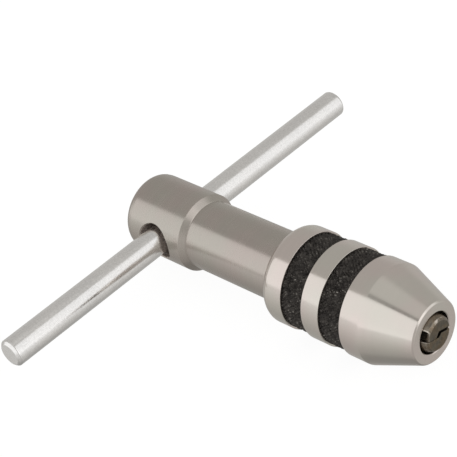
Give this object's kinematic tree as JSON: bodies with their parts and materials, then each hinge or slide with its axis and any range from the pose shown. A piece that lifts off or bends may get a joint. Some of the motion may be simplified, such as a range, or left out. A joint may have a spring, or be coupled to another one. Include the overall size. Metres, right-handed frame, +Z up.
{
  "type": "tap wrench",
  "caption": "T-handle tap wrench: stepped steel spindle with a sliding cross bar, and a screw-on knurled chuck sleeve with a conical nose that closes two sprung, stepped jaws on a tap's square.",
  "frame": {"origin": "centre of the flat rear face of the spindle's head, on the spindle axis", "axes": "+X along the spindle axis from the head towards the chuck nose, +Y along the sliding T-bar, +Z up with the tool lying on its side"},
  "size_m": [0.0769, 0.0992, 0.0206],
  "materials": {
    "satin_steel": "fine turned satin steel",
    "bright_bar": "bright plated round bar",
    "sleeve_steel": "bright turned steel with black-oxide knurled bands",
    "black_oxide": "black-oxide hardened steel, brownish sheen",
    "spring_wire": "drawn spring wire",
    "hard_ball": "polished bearing steel",
    "screw_black": "black-oxide alloy screw"
  },
  "bodies": {
    "spindle": {"spindle_body": "satin_steel", "detent_ball": "hard_ball", "detent_spring": "spring_wire", "detent_set_screw": "screw_black"},
    "bar": {"t_bar": "bright_bar"},
    "ring": {"sleeve_drag_ring": "spring_wire"},
    "sleeve": {"chuck_sleeve": "sleeve_steel"},
    "jaw_a": {"jaw_upper": "black_oxide"},
    "jaw_b": {"jaw_lower": "black_oxide", "jaw_spring_rear": "spring_wire", "jaw_spring_front": "spring_wire"}
  },
  "joints": [
    {"name": "bar_slide", "type": "slide", "parent": "spindle", "child": "bar", "axis": [0, 1, 0], "range_m": [-0.0418, 0.04]},
    {"name": "sleeve_advance", "type": "slide", "parent": "spindle", "child": "ring", "axis": [1, 0, 0], "range_m": [-0.00008, 0.0045]},
    {"name": "sleeve_turn", "type": "hinge", "parent": "ring", "child": "sleeve", "pos_m": [0.0404, 0, 0], "axis": [1, 0, 0], "range_deg": [-20, 1080]},
    {"name": "jaw_upper_slide", "type": "slide", "parent": "spindle", "child": "jaw_a", "axis": [0, 0.2924, 0.9563], "range_m": [-0.00003, 0.00164]},
    {"name": "jaw_lower_slide", "type": "slide", "parent": "spindle", "child": "jaw_b", "axis": [0, -0.2924, -0.9563], "range_m": [-0.00003, 0.00164]}
  ],
  "couplings": [
    {"joint": "sleeve_advance", "follows": "sleeve_turn", "m_per_rad": 0.00023873},
    {"joint": "jaw_upper_slide", "follows": "sleeve_turn", "m_per_rad": 0.000087137},
    {"joint": "jaw_lower_slide", "follows": "sleeve_turn", "m_per_rad": 0.000087137}
  ]
}
